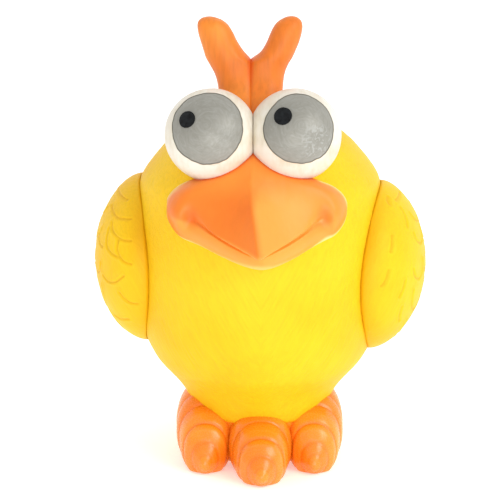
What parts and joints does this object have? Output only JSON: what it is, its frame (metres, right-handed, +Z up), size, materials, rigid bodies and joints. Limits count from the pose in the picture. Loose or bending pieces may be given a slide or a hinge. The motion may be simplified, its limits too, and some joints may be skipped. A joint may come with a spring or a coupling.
{
  "type": "rubber chicken",
  "caption": "Egg-shaped hollow rubber bird toy that stands on ringed toes, with goggle eyes, a hooked beak, a forked crest, folding wings and a squeaker in the sole.",
  "frame": {"origin": "centre of the flat sole, on the floor the bird stands on", "axes": "+Z up through the crest, -Y the way the beak points, +X to the bird's own left"},
  "size_m": [0.0959, 0.0873, 0.13],
  "materials": {
    "skin_yellow": "natural latex, satin, hand painted",
    "beak_orange": "natural latex, satin, hand painted",
    "crest_orange": "natural latex, satin, hand painted",
    "foot_orange": "natural latex, satin, hand painted",
    "eye_white": "natural latex, satin, hand painted",
    "iris_silver": "brushed silver paint film",
    "pupil_black": "black paint film, satin",
    "squeaker_white": "moulded, satin",
    "reed_brass": "rolled foil"
  },
  "bodies": {
    "base": {"belly_skin": "skin_yellow", "foot_pad": "foot_orange", "toe_left": "foot_orange", "toe_middle": "foot_orange", "toe_right": "foot_orange", "squeaker_housing": "squeaker_white", "squeaker_cap": "squeaker_white", "reed_plate": "squeaker_white", "reed_clip": "squeaker_white"},
    "reed": {"squeaker_reed": "reed_brass"},
    "head": {"head_skin": "skin_yellow", "eyeball_left": "eye_white", "eyeball_right": "eye_white", "iris_left": "iris_silver", "iris_right": "iris_silver", "pupil_left": "pupil_black", "pupil_right": "pupil_black", "upper_beak": "beak_orange", "lower_beak": "beak_orange", "crest_root": "crest_orange"},
    "wing_left": {"wing_left": "skin_yellow"},
    "wing_right": {"wing_right": "skin_yellow"},
    "crest_lobe_left": {"crest_lobe_left": "crest_orange"},
    "crest_lobe_right": {"crest_lobe_right": "crest_orange"}
  },
  "joints": [
    {"name": "squeeze", "type": "slide", "parent": "base", "child": "head", "axis": [0, 0, -1], "range_m": [0, 0.016], "stiffness_N_per_m": 1500, "springref_m": -0.001, "deforming": ["belly_skin"]},
    {"name": "reed_bend", "type": "hinge", "parent": "base", "child": "reed", "pos_m": [0, 0.0037, 0.01392], "axis": [1, 0, 0], "range_deg": [0, 3.5]},
    {"name": "wing_left_lift", "type": "hinge", "parent": "head", "child": "wing_left", "pos_m": [0.03815, -0.00294, 0.08], "axis": [-0.0767, -0.9971, 0], "range_deg": [0, 25], "stiffness_Nm_per_rad": 0.09, "springref_deg": -2.86},
    {"name": "wing_right_lift", "type": "hinge", "parent": "head", "child": "wing_right", "pos_m": [-0.03815, 0.00294, 0.08], "axis": [0.0767, 0.9971, 0], "range_deg": [0, 25], "stiffness_Nm_per_rad": 0.09, "springref_deg": -2.86},
    {"name": "crest_left_bend", "type": "hinge", "parent": "head", "child": "crest_lobe_left", "pos_m": [-0.0028, -0.005, 0.1075], "axis": [1, 0, 0], "range_deg": [-25, 25], "stiffness_Nm_per_rad": 0.02},
    {"name": "crest_right_bend", "type": "hinge", "parent": "head", "child": "crest_lobe_right", "pos_m": [-0.0028, -0.005, 0.1075], "axis": [1, 0, 0], "range_deg": [-25, 25], "stiffness_Nm_per_rad": 0.02}
  ],
  "couplings": [
    {"joint": "reed_bend", "follows": "squeeze", "rad_per_m": 3.8}
  ]
}
